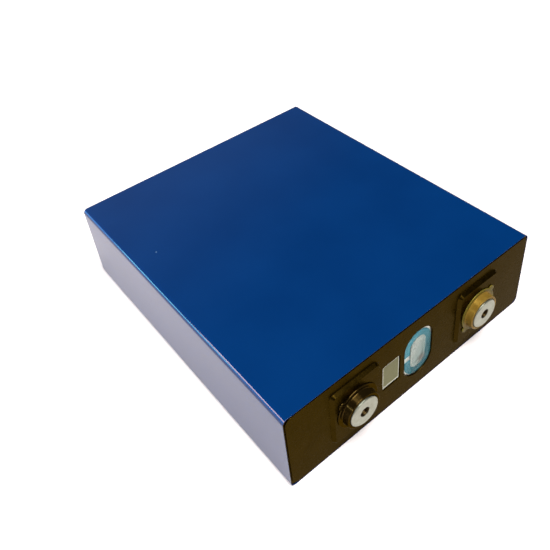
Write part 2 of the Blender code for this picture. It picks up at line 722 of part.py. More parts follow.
def main():
    clear_scene()
    parts = new_collection("prismatic_battery_cell")
    cutters = new_collection("cutters")
    cutters.hide_render = True
    axes = bpy.data.objects.new("cell_axes", None)
    axes.location = (0.0, TERMINAL_HEIGHT - (BODY_HEIGHT + TERMINAL_HEIGHT) / 2, THICKNESS / 2)
    axes.rotation_euler.x = math.radians(90.0)
    parts.objects.link(axes)
    materials = build_materials()
    build_shells(axes, parts, materials)
    build_lid_plate(axes, parts, cutters, materials)
    build_vent(axes, parts, cutters, materials)
    build_cover(axes, parts, cutters, materials)
    build_insulator(axes, parts, materials)
    build_terminal("negative", -TERMINAL_X, math.pi - EAR_ANGLE, axes, parts, cutters, materials)
    build_terminal("positive", TERMINAL_X, EAR_ANGLE, axes, parts, cutters, materials)
    build_cores(axes, parts, materials)


main()
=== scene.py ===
"""The looks of a prismatic battery cell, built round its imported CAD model.

Shapes are drawn in the cell's own axes, in millimetres: X runs across the width, Y through the thickness
and Z up out of the lid, with zero on the outer face of the lid cover. place() lays them down as the CAD
does, so that the lid faces -Y and the cell rests on z = 0.
"""

import math

import bmesh
import bpy
import numpy as np
from mathutils import Matrix, Vector, geometry, noise


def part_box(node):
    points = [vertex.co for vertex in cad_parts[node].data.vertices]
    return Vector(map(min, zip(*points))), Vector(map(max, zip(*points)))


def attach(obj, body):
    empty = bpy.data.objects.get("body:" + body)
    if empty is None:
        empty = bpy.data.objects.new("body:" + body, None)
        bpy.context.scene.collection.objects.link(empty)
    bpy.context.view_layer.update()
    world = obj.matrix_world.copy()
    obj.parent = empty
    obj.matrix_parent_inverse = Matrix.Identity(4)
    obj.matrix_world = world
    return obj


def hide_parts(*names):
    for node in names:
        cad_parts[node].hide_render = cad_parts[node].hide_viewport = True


MM = 0.001
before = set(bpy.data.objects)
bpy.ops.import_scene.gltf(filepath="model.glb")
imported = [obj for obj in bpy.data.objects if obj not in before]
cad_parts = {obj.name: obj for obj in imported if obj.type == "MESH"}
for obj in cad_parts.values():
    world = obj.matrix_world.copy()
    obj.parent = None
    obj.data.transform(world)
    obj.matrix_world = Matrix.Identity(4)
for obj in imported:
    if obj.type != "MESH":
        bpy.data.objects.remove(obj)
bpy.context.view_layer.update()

film_low, film_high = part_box("film_wrap")
CELL = Matrix.Translation((0.0, film_low.y, (film_low.z + film_high.z) / 2)) @ Matrix.Rotation(
    math.radians(90.0), 4, "X"
)
TO_CELL = CELL.inverted()


def cell_box(node):
    """A CAD node's lowest and highest corners in the cell's own axes, in millimetres."""
    corners = np.array([TO_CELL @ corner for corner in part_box(node)]) / MM
    return corners.min(0), corners.max(0)


# Sizes read from the CAD nodes, in millimetres
WRAP_LOW, WRAP_HIGH = cell_box("film_wrap")
COVER_LOW, COVER_HIGH = cell_box("lid_cover")
PATCH_LOW, PATCH_HIGH = cell_box("base_patch")
LABEL_LOW, LABEL_HIGH = cell_box("code_label")
RING_LOW, RING_HIGH = cell_box("vent_film_adhesive")
SHEET_LOW, SHEET_HIGH = cell_box("vent_film")
WIDTH = WRAP_HIGH[0] - WRAP_LOW[0]
THICKNESS = WRAP_HIGH[1] - WRAP_LOW[1]
TERMINALS = {}
for side in ("negative", "positive"):
    block_low, block_high = cell_box(side + "_terminal")
    collar_low, collar_high = cell_box(side + "_collar")
    TERMINALS[side] = {
        "x": (block_low[0] + block_high[0]) / 2,
        "block_low": block_low[2],
        "block_high": block_high[2],
        "block_radius": (block_high[0] - block_low[0]) / 2,
        "collar_low": collar_low[2],
        "collar_high": collar_high[2],
    }

# Sizes shared with the CAD that no node's box gives, in millimetres
GAP = 0.3
FILM_CORNER = 3.0
FILM_BASE_EDGE = 1.2
FILM_WALL = 0.3
COVER_CORNER = FILM_CORNER - FILM_WALL - GAP
COVER_THICKNESS = 0.7
PLATEAU_WIDTH = 31.6
PLATEAU_LENGTH = 38.2
PLATEAU_LEAN = 1.3
PLATEAU_CORNER = 3.0
VENT_WINDOW = (20.6, 33.7)
VENT_OPENING = (11.1, 22.8)
VENT_NOTCH = 3.9
VENT_FILM_TURN = math.radians(2.0)
CODE_X = -19.6
CODE_WINDOW = (12.3, 18.4)
FLANGE_RADIUS = 13.0
FLANGE_TOP = 2.5
FLANGE_UNDERSIDE = 1.9
COLLAR_RADIUS = 10.5
COLLAR_HOLE = COLLAR_RADIUS + GAP
COLLAR_BORE = 9.0
COLLAR_FLOOR = 0.2
POST_HOLE = 5.3
EAR_REACH = 15.3
EAR_WIDTH = 4.4
EAR_ROUNDING = 1.8
EAR_ANGLES = {"positive": math.radians(42.0), "negative": math.radians(138.0)}
BLOCK_CHAMFER = 0.4
THREAD_MINOR = 2.5
THREAD_MOUTH = 3.1
THREAD_DEPTH = 5.1
DRILL_TIP = 0.7

# Sizes that only the looks have, in millimetres
COVER_SPREAD = 0.15
REBATE = 0.85
REBATE_HEIGHT = -0.5
REBATE_CORNER = 4.2
VENT_FILM = (19.3, 31.5)
VENT_FILM_X = 0.2
VENT_FILM_Y = -0.55
NOTCH_ROUNDING = 0.3
COLLAR_DRAFT_IN = 0.15
COLLAR_DRAFT_OUT = 0.3
THREAD_START = 0.6
THREAD_PITCH = 1.0
THREAD_HEIGHT = 0.32
FILM_WAVE_SIZE = 38.0
FILM_WAVE_MIDDLE = 0.035
FILM_WAVE_DEPTH = 0.045
FILM_WAVE_FADE = 3.0
FILM_SEAM_STEP = 0.14
FILM_SEAM_RUN = 14.0

# Where the film's seam is and how wide its step is, as shares of half the straight part of a narrow side
FILM_SEAM = -0.32
FILM_SEAM_WIDTH = 0.004

# Most of a noise's values lie between these two
NOISE_LOW = 0.3
NOISE_HIGH = 0.7


# ---------------------------------------------------------------------------------------------- outlines


def directions(angles):
    """Unit vectors at these angles, which are in radians."""
    return np.stack([np.cos(angles), np.sin(angles)], 1)


def arc(centre_x, centre_y, radius, start, end, steps):
    """Points and outward normals of an arc in degrees, both ends included."""
    normals = directions(np.radians(np.linspace(start, end, steps + 1)))
    return np.array([centre_x, centre_y]) + radius * normals, normals


def marks(count):
    """This many marks evenly spaced between the ends of a straight side."""
    return np.linspace(-1, 1, count + 2)[1:-1]


class Outline:
    """A closed outline that can be moved along its own normals."""

    def __init__(self, points, normals):
        self.points = np.array(points, float)
        self.normals = np.array(normals, float)

    def offset(self, distance):
        """The points, each moved out by a distance."""
        return self.points + distance * self.normals

    def spokes(self):
        """Unit vectors from zero towards each of the outline's points."""
        return directions(np.arctan2(self.points[:, 1], self.points[:, 0]))

    def moved(self, x=0.0, y=0.0, turn=0.0):
        """The outline turned about zero, then moved."""
        spin = np.array([[math.cos(turn), math.sin(turn)], [-math.sin(turn), math.cos(turn)]])
        return Outline(self.points @ spin + np.array([x, y]), self.normals @ spin)

    def cut_open(self, x):
        """The points and normals from just after the point nearest (x, 0), all round to just before it."""
        nearest = int(np.argmin(np.hypot(self.points[:, 0] - x, self.points[:, 1])))
        return [np.roll(rows, -nearest, 0)[1:] for rows in (self.points, self.normals)]


def rounded_rectangle(width, length, radius, corner_steps, x_marks=(0.0,), y_marks=(0.0,)):
    """An outline that is width wide along X and length long along Y. x_marks and y_marks are where its
    straight sides have points between their ends, as shares of a side from -1 to 1."""
    right, top = width / 2 - radius, length / 2 - radius
    points, normals = [], []
    sides = (
        (right, top, [(-x, 1) for x in x_marks], (right, length / 2), (0, 1)),
        (-right, top, [(-1, -y) for y in y_marks], (width / 2, top), (-1, 0)),
        (-right, -top, [(x, -1) for x in x_marks], (right, length / 2), (0, -1)),
        (right, -top, [(1, y) for y in y_marks], (width / 2, top), (1, 0)),
    )
    for corner, (x, y, side_marks, scale, normal) in enumerate(sides):
        corner_points, corner_normals = arc(x, y, radius, 90 * corner, 90 * corner + 90, corner_steps)
        points += list(corner_points) + list(np.reshape(side_marks, (-1, 2)) * np.array(scale))
        normals += list(corner_normals) + [normal] * len(side_marks)
    return Outline(points, normals)


def stadium(size, corner_steps):
    """A slot outline, size being its width and its greater length along Y. A sliver of each end stays
    straight, so that no two of its points meet."""
    sliver = 0.01
    return rounded_rectangle(*size, size[0] / 2 - sliver, corner_steps, (), (-0.5, 0.0, 0.5))


def rounded_path(corners, steps=5):
    """A path through (across, height, rounding) corners, with an arc at each corner that is rounded."""
    path = []
    for index, (across, height, rounding) in enumerate(corners):
        here = np.array([across, height])
        if rounding == 0 or index in (0, len(corners) - 1):
            path.append(here)
            continue
        before = np.array(corners[index - 1][:2]) - here
        after = np.array(corners[index + 1][:2]) - here
        before /= np.linalg.norm(before)
        after /= np.linalg.norm(after)
        half = math.acos(np.clip(before @ after, -1, 1)) / 2
        reach = rounding / math.tan(half)
        bisector = (before + after) / np.linalg.norm(before + after)
        centre = here + bisector * rounding / math.sin(half)
        first, last = here + before * reach - centre, here + after * reach - centre
        turn = math.atan2(first[0] * last[1] - first[1] * last[0], first @ last)
        for step in range(steps + 1):
            angle = turn * step / steps
            cos, sin = math.cos(angle), math.sin(angle)
            spin = np.array([first[0] * cos - first[1] * sin, first[0] * sin + first[1] * cos])
            path.append(centre + spin)
    return path


def close_together(points, length):
    """The same path with more points, none further apart than length."""
    path = [points[0]]
    for start, end in zip(points, points[1:]):
        pieces = max(1, math.ceil(np.linalg.norm(end - start) / length))
        path += [start + (end - start) * step / pieces for step in range(1, pieces + 1)]
    return path


# ------------------------------------------------------------------------------------------------ meshes


class Shape:
    """A mesh made of closed rows of points, in the cell's axes and in millimetres."""

    def __init__(self):
        self.points = []
        self.faces = []

    def row(self, points, height):
        """Adds a closed row of points at one height."""
        start = len(self.points)
        self.points += [(*point, height) for point in points]
        return list(range(start, len(self.points)))

    def around(self, outline, path):
        """A row for each (distance out from the outline, height) of a path."""
        return [self.row(outline.offset(offset), height) for offset, height in path]

    def turned(self, centre, spokes, path):
        """A row for each (distance from the centre along the spokes, height) of a path."""
        return [self.row(centre + spokes * radius, height) for radius, height in path]

    def strip(self, low, high):
        """A band of quads between two rows of the same length."""
        for index in range(len(low)):
            following = (index + 1) % len(low)
            self.faces.append((low[index], low[following], high[following], high[index]))

    def strips(self, rows, closed=False):
        """Bands between each row and the next, and from the last to the first if closed."""
        for low, high in zip(rows, rows[1:]):
            self.strip(low, high)
        if closed:
            self.strip(rows[-1], rows[0])

    def fill(self, *rows):
        """Flat triangles inside the first row and outside the others."""
        loops = [[Vector(self.points[index]) for index in row] for row in rows]
        order = [index for row in rows for index in row]
        for triangle in geometry.tessellate_polygon(loops):
            self.faces.append(tuple(order[corner] for corner in triangle))

    def hub(self, row, point):
        """A fan of triangles from a row to one point."""
        centre = len(self.points)
        self.points.append(tuple(point))
        for index in range(len(row)):
            self.faces.append((row[index], row[(index + 1) % len(row)], centre))


def slab(outline, low, high, low_rounding, high_rounding, border):
    """A flat piece between two heights, its lower and upper edges rounded. Both faces have a row of points
    as far inside the outline as border says."""
    path = rounded_path(
        [(-border, low, 0), (0.0, low, low_rounding), (0.0, high, high_rounding), (-border, high, 0)], 3
    )
    shape = Shape()
    rows = shape.around(outline, path)
    shape.strips(rows)
    shape.fill(rows[0])
    shape.fill(rows[-1])
    return shape


def place(name, shape, slot, material, *nodes, sharp=40.0):
    """Makes a shape a piece of the object, in place of the CAD nodes it stands for."""
    mesh = bpy.data.meshes.new(name)
    work = bmesh.new()
    vertices = [work.verts.new(Vector(point) * MM) for point in shape.points]
    for face in shape.faces:
        work.faces.new([vertices[index] for index in face])
    bmesh.ops.remove_doubles(work, verts=work.verts, dist=1e-8)
    bmesh.ops.recalc_face_normals(work, faces=work.faces)
    bmesh.ops.transform(work, matrix=CELL, verts=work.verts)
    work.to_mesh(mesh)
    open_edges = sum(1 for edge in work.edges if len(edge.link_faces) != 2)
    work.free()
    if open_edges:
        raise ValueError(f"{name} has {open_edges} edges that aren't shared by two faces")
    mesh.shade_smooth()
    mesh.set_sharp_from_angle(angle=math.radians(sharp))
    piece = bpy.data.objects.new(name, mesh)
    bpy.context.scene.collection.objects.link(piece)
    even = piece.modifiers.new("Even", "WEIGHTED_NORMAL")
    even.keep_sharp = True
    piece.data.materials.append(material)
    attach(piece, "root")
    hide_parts(*nodes)


# --------------------------------------------------------------------------------------------- materials


class Finish:
    """A material and the nodes that drive its Principled shader, in object coordinates."""

    def __init__(self, name, colour, roughness, **sockets):
        self.material = bpy.data.materials.new(name)
        self.material.use_nodes = True
        self.tree = self.material.node_tree
        self.shader = self.tree.nodes["Principled BSDF"]
        self.coordinates = self.tree.nodes.new("ShaderNodeTexCoord").outputs["Object"]
        self.shader.inputs["Base Color"].default_value = (*colour, 1.0)
        self.shader.inputs["Roughness"].default_value = roughness
        for socket, value in sockets.items():
            self.shader.inputs[socket.replace("_", " ")].default_value = value

    def node(self, kind, **settings):
        """A new node with these settings."""
        made = self.tree.nodes.new(kind)
        for setting, value in settings.items():
            setattr(made, setting, value)
        return made

    def link(self, output, target):
        self.tree.links.new(output, target)

    def stretched(self, scale, location=(0.0, 0.0, 0.0)):
        """Object coordinates scaled, then moved."""
        mapping = self.node("ShaderNodeMapping")
        mapping.inputs["Location"].default_value = location
        mapping.inputs["Scale"].default_value = scale
        self.link(self.coordinates, mapping.inputs["Vector"])
        return mapping.outputs["Vector"]

    def distances_from(self, x, z):
        """Distances in millimetres along world X and Z from this x and z, which are in metres."""
        offset = self.stretched((1.0 / MM,) * 3, (-x / MM, 0.0, -z / MM))
        split = self.node("ShaderNodeSeparateXYZ")
        self.link(offset, split.inputs["Vector"])
        return split.outputs["X"], split.outputs["Z"]

    def radius_from(self, x, z):
        """Distance in millimetres from the line along world Y through this x and z, in metres."""
        offset = self.stretched((1.0 / MM, 0.0, 1.0 / MM), (-x / MM, 0.0, -z / MM))
        length = self.node("ShaderNodeVectorMath", operation="LENGTH")
        self.link(offset, length.inputs[0])
        return length.outputs["Value"]

    def grain(self, size, detail, coordinates=None):
        """Noise whose blobs are about size millimetres across, from 0 to 1."""
        made = self.node("ShaderNodeTexNoise")
        made.inputs["Scale"].default_value = 1.0 / (size * MM)
        made.inputs["Detail"].default_value = detail
        self.link(coordinates or self.coordinates, made.inputs["Vector"])
        return made.outputs["Fac"]

    def scatter(self, size):
        """Distance to the nearest of a scatter of points that are about size millimetres apart."""
        made = self.node("ShaderNodeTexVoronoi")
        made.inputs["Scale"].default_value = 1.0 / (size * MM)
        self.link(self.coordinates, made.inputs["Vector"])
        return made.outputs["Distance"]

    def spread(self, value, low, high, to_low=0.0, to_high=1.0):
        """Maps value from low..high to to_low..to_high, and holds it there."""
        made = self.node("ShaderNodeMapRange", clamp=True)
        for socket, number in zip(("From Min", "From Max", "To Min", "To Max"), (low, high, to_low, to_high)):
            made.inputs[socket].default_value = number
        self.link(value, made.inputs["Value"])
        return made.outputs["Result"]

    def maths(self, operation, first, second=None):
        """One step of arithmetic. Each value may be a number or a node's output."""
        made = self.node("ShaderNodeMath", operation=operation)
        for socket, value in zip(made.inputs, (first, second)):
            if value is None:
                continue
            if isinstance(value, (int, float)):
                socket.default_value = value
            else:
                self.link(value, socket)
        return made.outputs["Value"]

    def add(self, value, other, times):
        """value plus times the other value."""
        return self.maths("ADD", value, self.maths("MULTIPLY", other, times))

    def hypotenuse(self, first, second):
        """The root of two values' squares added up."""
        squares = [self.maths("POWER", value, 2.0) for value in (first, second)]
        return self.maths("SQRT", self.maths("ADD", *squares))

    def blend(self, share, first, second):
        """A colour between first and second. Either may be a colour or a node's output."""
        made = self.node("ShaderNodeMix", data_type="RGBA")
        self.link(share, made.inputs["Factor"])
        for socket, colour in ((made.inputs[6], first), (made.inputs[7], second)):
            if isinstance(colour, tuple):
                socket.default_value = (*colour, 1.0)
            else:
                self.link(colour, socket)
        return made.outputs[2]

    def mottle(self, value, first, second):
        """A colour that goes from first to second with a noise's value."""
        return self.blend(self.spread(value, NOISE_LOW, NOISE_HIGH), first, second)

    def colour(self, output):
        self.link(output, self.shader.inputs["Base Color"])

    def rough(self, value, low, high):
        """Roughness that goes from low to high with a noise's value."""
        self.link(self.spread(value, NOISE_LOW, NOISE_HIGH, low, high), self.shader.inputs["Roughness"])

    def bump(self, *heights):
        """Bumps from (height output, depth in millimetres) pairs, one on the other."""
        normal = None
        for height, depth in heights:
            made = self.node("ShaderNodeBump")
            made.inputs["Distance"].default_value = depth * MM
            self.link(height, made.inputs["Height"])
            if normal:
                self.link(normal, made.inputs["Normal"])
            normal = made.outputs["Normal"]
        self.link(normal, self.shader.inputs["Normal"])

    def polished_round(self):
        """Highlights drawn out along world Y, as on a piece polished round an axis along Y."""
        quarter_turn = 0.25
        self.shader.inputs["Anisotropic"].default_value = 0.9
        self.shader.inputs["Anisotropic Rotation"].default_value = quarter_turn
        tangent = self.node("ShaderNodeTangent", direction_type="RADIAL", axis="Y")
        self.link(tangent.outputs["Tangent"], self.shader.inputs["Tangent"])


def blue_film():
    """Semi-gloss polyester film with faint orange peel and a few specks of dust."""
    finish = Finish("blue_film", (0.0007, 0.0163, 0.0725), 0.1, IOR=1.37)
    base = finish.mottle(finish.grain(45.0, 2.0), (0.0001, 0.0118, 0.0545), (0.0003, 0.0140, 0.0620))
    speck = finish.spread(finish.scatter(26.0), 0.012, 0.022, 1.0, 0.0)
    finish.colour(finish.blend(speck, base, (0.06, 0.11, 0.17)))
    finish.rough(finish.grain(6.0, 4.0), 0.08, 0.12)
    finish.bump((finish.grain(2.2, 2.0), 0.0025), (finish.grain(0.35, 2.0), 0.0004))
    return finish.material


def moulded_black(name, colour, edge, metallic, roughness, spread, grain):
    """Black moulded plastic with a brown sheen, which is a painted reflection of brown surroundings. A
    dielectric shader can't tint its reflections at a slant, so the sheen comes from the metallic lobe: colour
    is its tint face on, and edge at a slant."""
    finish = Finish(name, colour, roughness, Metallic=metallic)
    finish.shader.inputs["Specular IOR Level"].default_value = 0.0
    finish.shader.inputs["Specular Tint"].default_value = (*edge, 1.0)
    dark = tuple(0.85 * channel for channel in colour)
    finish.colour(finish.mottle(finish.grain(9.0, 4.0), dark, colour))
    finish.rough(finish.grain(3.0, 5.0), roughness - spread, roughness + spread)
    finish.bump((finish.grain(grain, 3.0), 0.001))
    return finish


def black_cover():
    """Satin black plastic with a fine grain."""
    # The brown in colour and edge is a painted reflection of brown surroundings; the plastic itself is black.
    colour, edge = (0.0272, 0.0160, 0.0020), (0.552, 0.536, 0.502)
    finish = moulded_black(
        "black_cover", colour, edge, metallic=0.97, roughness=0.26, spread=0.04, grain=0.28
    )
    return finish.material


def black_collar():
    """Glossy black nylon, polished round the collar's axis."""
    # The brown in colour and edge is a painted reflection of brown surroundings; the plastic itself is black.
    colour, edge = (0.032, 0.0195, 0.0050), (0.53, 0.50, 0.45)
    finish = moulded_black(
        "negative_collar", colour, edge, metallic=0.86, roughness=0.18, spread=0.03, grain=0.9
    )
    finish.polished_round()
    return finish.material


def tan_collar():
    """Glossy amber nylon, polished round the collar's axis. Its flange is painted darker and more olive than
    the cup, as painted shade.
    """
    finish = Finish("positive_collar", (0.114, 0.066, 0.012), 0.22, IOR=1.53, Metallic=0.2)
    finish.shader.inputs["Specular IOR Level"].default_value = 0.04
    finish.shader.inputs["Specular Tint"].default_value = (0.58, 0.50, 0.28, 1.0)
    finish.shader.inputs["Subsurface Weight"].default_value = 0.15
    finish.shader.inputs["Subsurface Radius"].default_value = (0.0015, 0.0008, 0.0003)
    finish.polished_round()
    cup = finish.mottle(finish.grain(4.0, 3.0), (0.105, 0.060, 0.008), (0.134, 0.081, 0.013))
    radius = finish.radius_from(TERMINALS["positive"]["x"] * MM, CELL.translation.z)
    # Painted shade: the flange gets a darker, more olive colour than the cup of the same moulding.
    flange = (0.077, 0.059, 0.009)
    finish.colour(finish.blend(finish.spread(radius, 11.0, 11.8), cup, flange))
    finish.rough(finish.grain(2.0, 4.0), 0.16, 0.28)
    finish.bump((finish.grain(0.8, 3.0), 0.002))
    return finish.material


def turned_aluminium(side):
    """Bright aluminium, faced on a lathe: fine rings round the terminal's own axis. The tapped hole is
    painted dark, as painted shade.
    """
    ring_spacing = 0.22
    # Painted shade: the colour inside the tapped hole.
    hole = (0.035, 0.022, 0.008)
    finish = Finish(side + "_terminal", (0.55, 0.54, 0.51), 0.35, Metallic=1.0)
    radius = finish.radius_from(TERMINALS[side]["x"] * MM, CELL.translation.z)
    turns = finish.maths("MULTIPLY", radius, 2.0 * math.pi / ring_spacing)
    rings = finish.maths("SINE", finish.add(turns, finish.grain(3.0, 2.0), 0.6))
    face = finish.mottle(finish.grain(2.5, 4.0), (0.264, 0.270, 0.205), (0.315, 0.330, 0.264))
    # Painted shade: inside a radius of 2.85 to 3 mm the face turns to the dark hole colour.
    finish.colour(finish.blend(finish.spread(radius, 2.85, 3.0), hole, face))
    finish.rough(finish.grain(1.5, 4.0), 0.30, 0.46)
    finish.bump((rings, 0.003), (finish.grain(0.25, 3.0), 0.002))
    return finish.material


def sheet_aluminium(name, colour, stained, clean, rough_low, rough_high):
    """Rolled aluminium: streaks along one direction and faint stains."""
    finish = Finish(name, colour, (rough_low + rough_high) / 2, Metallic=1.0)
    streaks = finish.grain(0.5, 4.0, finish.stretched((0.03, 1.0, 1.0)))
    stains = finish.spread(finish.grain(7.0, 5.0), 0.35, 0.75)
    finish.colour(finish.blend(stains, clean, stained))
    finish.rough(streaks, rough_low, rough_high)
    finish.bump((streaks, 0.003), (finish.grain(1.5, 3.0), 0.01))
    return finish.material


def copper():
    """Copper with fine streaks along one direction."""
    finish = Finish("copper", (0.72, 0.40, 0.26), 0.35, Metallic=1.0)
    streaks = finish.grain(0.6, 4.0, finish.stretched((1.0, 0.04, 1.0)))
    finish.colour(finish.mottle(streaks, (0.60, 0.30, 0.18), (0.78, 0.45, 0.30)))
    finish.rough(streaks, 0.25, 0.45)
    finish.bump((streaks, 0.004))
    return finish.material


def teal_adhesive():
    """Teal adhesive behind the clear film, with painted shade that darkens it towards one corner."""
    # The second colour is the dark end of a painted shade.
    light, painted_dark_end = (0.018, 0.152, 0.195), (0.007, 0.062, 0.076)
    finish = Finish("teal_adhesive", (0.02, 0.12, 0.17), 0.35, IOR=1.5)
    finish.shader.inputs["Specular IOR Level"].default_value = 0.05
    across, along = finish.distances_from(VENT_FILM_X * MM, CELL.translation.z)
    # Painted shade: the ring darkens from its left towards its lower right end.
    painted_gradient = finish.add(finish.add(across, along, -0.8), finish.grain(5.0, 3.0), 8.0)
    finish.colour(finish.blend(finish.spread(painted_gradient, -7.0, 13.0), light, painted_dark_end))
    finish.rough(finish.grain(2.0, 4.0), 0.25, 0.45)
    finish.bump((finish.grain(3.0, 3.0), 0.02), (finish.grain(0.6, 3.0), 0.005))
    return finish.material


def clear_film():
    """Thin polyester film: clear over the ring, milky over the vent, with a painted reflection there that
    turns it greener and darker to one side and a dark brown patch.
    """
    # The second and third colours are painted reflection: a greener, darker tint and a dark brown patch.
    light, painted_dark_end, dark_reflection = (0.255, 0.305, 0.266), (0.075, 0.165, 0.150), (0.040, 0.034, 0.022)
    reflection_across, reflection_along = 2.5, -7.3
    clearest = 0.04
    finish = Finish("clear_film", (0.2, 0.22, 0.2), 0.12, IOR=1.5, Alpha=0.3)
    across, along = finish.distances_from(VENT_FILM_X * MM, CELL.translation.z)
    straight = VENT_OPENING[1] / 2 - VENT_OPENING[0] / 2
    beyond = finish.maths("SUBTRACT", finish.maths("ABSOLUTE", along), straight)
    from_middle = finish.hypotenuse(across, finish.maths("MAXIMUM", beyond, 0.0))
    from_edge = finish.maths("SUBTRACT", from_middle, VENT_OPENING[0] / 2)
    window = finish.spread(from_edge, -0.3, 0.1, 1.0, 0.0)
    haze = finish.spread(finish.grain(4.0, 4.0), NOISE_LOW, NOISE_HIGH, 0.55, 0.68)
    alpha = finish.maths("MAXIMUM", finish.maths("MULTIPLY", window, haze), clearest)
    finish.link(alpha, finish.shader.inputs["Alpha"])
    # Painted reflection: over the vent the milky film goes greener and darker towards the lower right.
    painted_gradient = finish.add(finish.add(across, along, -0.5), finish.grain(5.0, 3.0), 3.0)
    milky_with_reflection = finish.blend(finish.spread(painted_gradient, -2.0, 8.0), light, painted_dark_end)
    # Painted reflection: a dark brown patch near the lower right of the window.
    from_reflection = finish.hypotenuse(
        finish.maths("SUBTRACT", across, reflection_across), finish.maths("SUBTRACT", along, reflection_along)
    )
    finish.colour(finish.blend(finish.spread(from_reflection, 1.0, 4.5), dark_reflection, milky_with_reflection))
    finish.rough(finish.grain(3.0, 3.0), 0.08, 0.18)
    finish.bump((finish.grain(5.0, 3.0), 0.06), (finish.grain(1.2, 2.0), 0.01))
    return finish.material


def blank_label():
    """A matt printed field with a pale margin and a slightly frayed edge, and nothing on it."""
    side_margin, end_margin = 0.45, 1.0
    fray, blur = 0.12, 0.16
    margin_colour = (0.42, 0.42, 0.35)
    centre = CELL @ Vector(((LABEL_LOW + LABEL_HIGH) / 2 * MM).tolist())
    half_width, half_length, _ = (LABEL_HIGH - LABEL_LOW) / 2
    finish = Finish("blank_label", (0.21, 0.20, 0.12), 0.45, IOR=1.5)
    finish.shader.inputs["Specular IOR Level"].default_value = 0.12
    across, along = (finish.maths("ABSOLUTE", away) for away in finish.distances_from(centre.x, centre.z))
    from_side = finish.maths("SUBTRACT", half_width - side_margin, across)
    from_end = finish.maths("SUBTRACT", half_length - end_margin, along)
    from_edge = finish.maths("MINIMUM", from_side, from_end)
    field = finish.spread(finish.add(from_edge, finish.grain(0.8, 3.0), fray), 0.0, blur)
    paper = finish.mottle(finish.grain(1.2, 4.0), (0.091, 0.089, 0.035), (0.107, 0.103, 0.046))
    finish.colour(finish.blend(field, margin_colour, paper))
    finish.rough(finish.grain(1.0, 4.0), 0.38, 0.52)
    finish.bump((field, 0.01), (finish.grain(0.3, 3.0), 0.003))
    return finish.material


def plain_plastic(name, low, high, roughness, grain, depth, **sockets):
    """Moulded plastic, rubber or plastic film that hardly shows."""
    finish = Finish(name, high, roughness, **sockets)
    finish.colour(finish.mottle(finish.grain(grain * 4, 4.0), low, high))
    finish.rough(finish.grain(grain, 4.0), roughness - 0.08, roughness + 0.08)
    finish.bump((finish.grain(grain, 3.0), depth))
    return finish.material


def wound_core():
    """The edges and outer turn of a wound core: fine layers, one above the other."""
    finish = Finish("wound_core", (0.06, 0.06, 0.065), 0.5, IOR=1.45)
    layers = finish.grain(0.4, 2.0, finish.stretched((0.02, 0.02, 1.0)))
    finish.colour(finish.mottle(layers, (0.03, 0.03, 0.035), (0.10, 0.10, 0.105)))
    finish.rough(layers, 0.4, 0.6)
    finish.bump((layers, 0.01))
    return finish.material


def studio_floor():
    """Pale paper, very slightly mottled."""
    finish = Finish("studio_floor", (0.505, 0.468, 0.457), 0.9, IOR=1.3)
    finish.colour(finish.mottle(finish.grain(60.0, 3.0), (0.502, 0.465, 0.454), (0.508, 0.471, 0.460)))
    return finish.material


# ------------------------------------------------------------------------------------------- shell pieces


def film_dent(point, normal, height):
    """How far the film is pushed in at one point. It lies in faint waves, and a step deeper on one side of
    the seam. Waves and step die away towards the base and the lid."""
    x, y = point
    size = FILM_WAVE_SIZE
    depth = FILM_WAVE_MIDDLE + FILM_WAVE_DEPTH * noise.noise(Vector((x / size, y / size, height / size)))
    seam_y = (FILM_SEAM + FILM_SEAM_WIDTH / 4) * (THICKNESS / 2 - FILM_CORNER)
    if normal[0] > 0.99 and y < seam_y:
        depth += FILM_SEAM_STEP * min(1.0, (y + THICKNESS / 2) / FILM_SEAM_RUN)
    fade = min(1.0, -height / FILM_WAVE_FADE, (height - WRAP_LOW[2]) / FILM_WAVE_FADE)
    return max(0.0, depth) * max(0.0, fade)


def build_film(material):
    """The blue film: a thin skin with a faint waviness, and an overlap along its hidden narrow side."""
    side_marks = sorted([*marks(18), FILM_SEAM, FILM_SEAM + FILM_SEAM_WIDTH])
    outline = rounded_rectangle(WIDTH, THICKNESS, FILM_CORNER, 10, marks(62), side_marks)
    low = WRAP_LOW[2]
    floor = low + FILM_WALL
    lip, base_border = 0.12, 2.5
    outer = rounded_path(
        [(-base_border, low, 0), (0.0, low, FILM_BASE_EDGE), (0.0, 0.0, 0.08), (-lip, 0.0, 0)]
    )
    inner = rounded_path(
        [
            (-lip, 0.0, 0),
            (-FILM_WALL, -1.5, 0.3),
            (-FILM_WALL, floor, FILM_BASE_EDGE - FILM_WALL),
            (-base_border, floor, 0),
        ]
    )
    shape = Shape()
    rows = []
    for offset, height in close_together(outer, 2.6):
        level = outline.offset(offset)
        if offset > -0.01:
            dents = [film_dent(point, normal, height) for point, normal in zip(level, outline.normals)]
            level = level - np.array(dents)[:, None] * outline.normals
        rows.append(shape.row(level, height))
    rows += shape.around(outline, inner[1:])
    shape.strips(rows)
    shape.fill(rows[0])
    shape.fill(rows[-1])
    place("film_skin", shape, "blue_film", material, "film_wrap", sharp=50.0)


def build_base_patch(material):
    """The patch of film on the base, with a rounded edge."""
    width, length, _ = PATCH_HIGH - PATCH_LOW
    outline = rounded_rectangle(width, length, FILM_CORNER, 10)
    shape = slab(outline, PATCH_LOW[2], PATCH_HIGH[2], low_rounding=0.06, high_rounding=0.06, border=0.5)
    place("base_patch_film", shape, "base_patch", material, "base_patch")


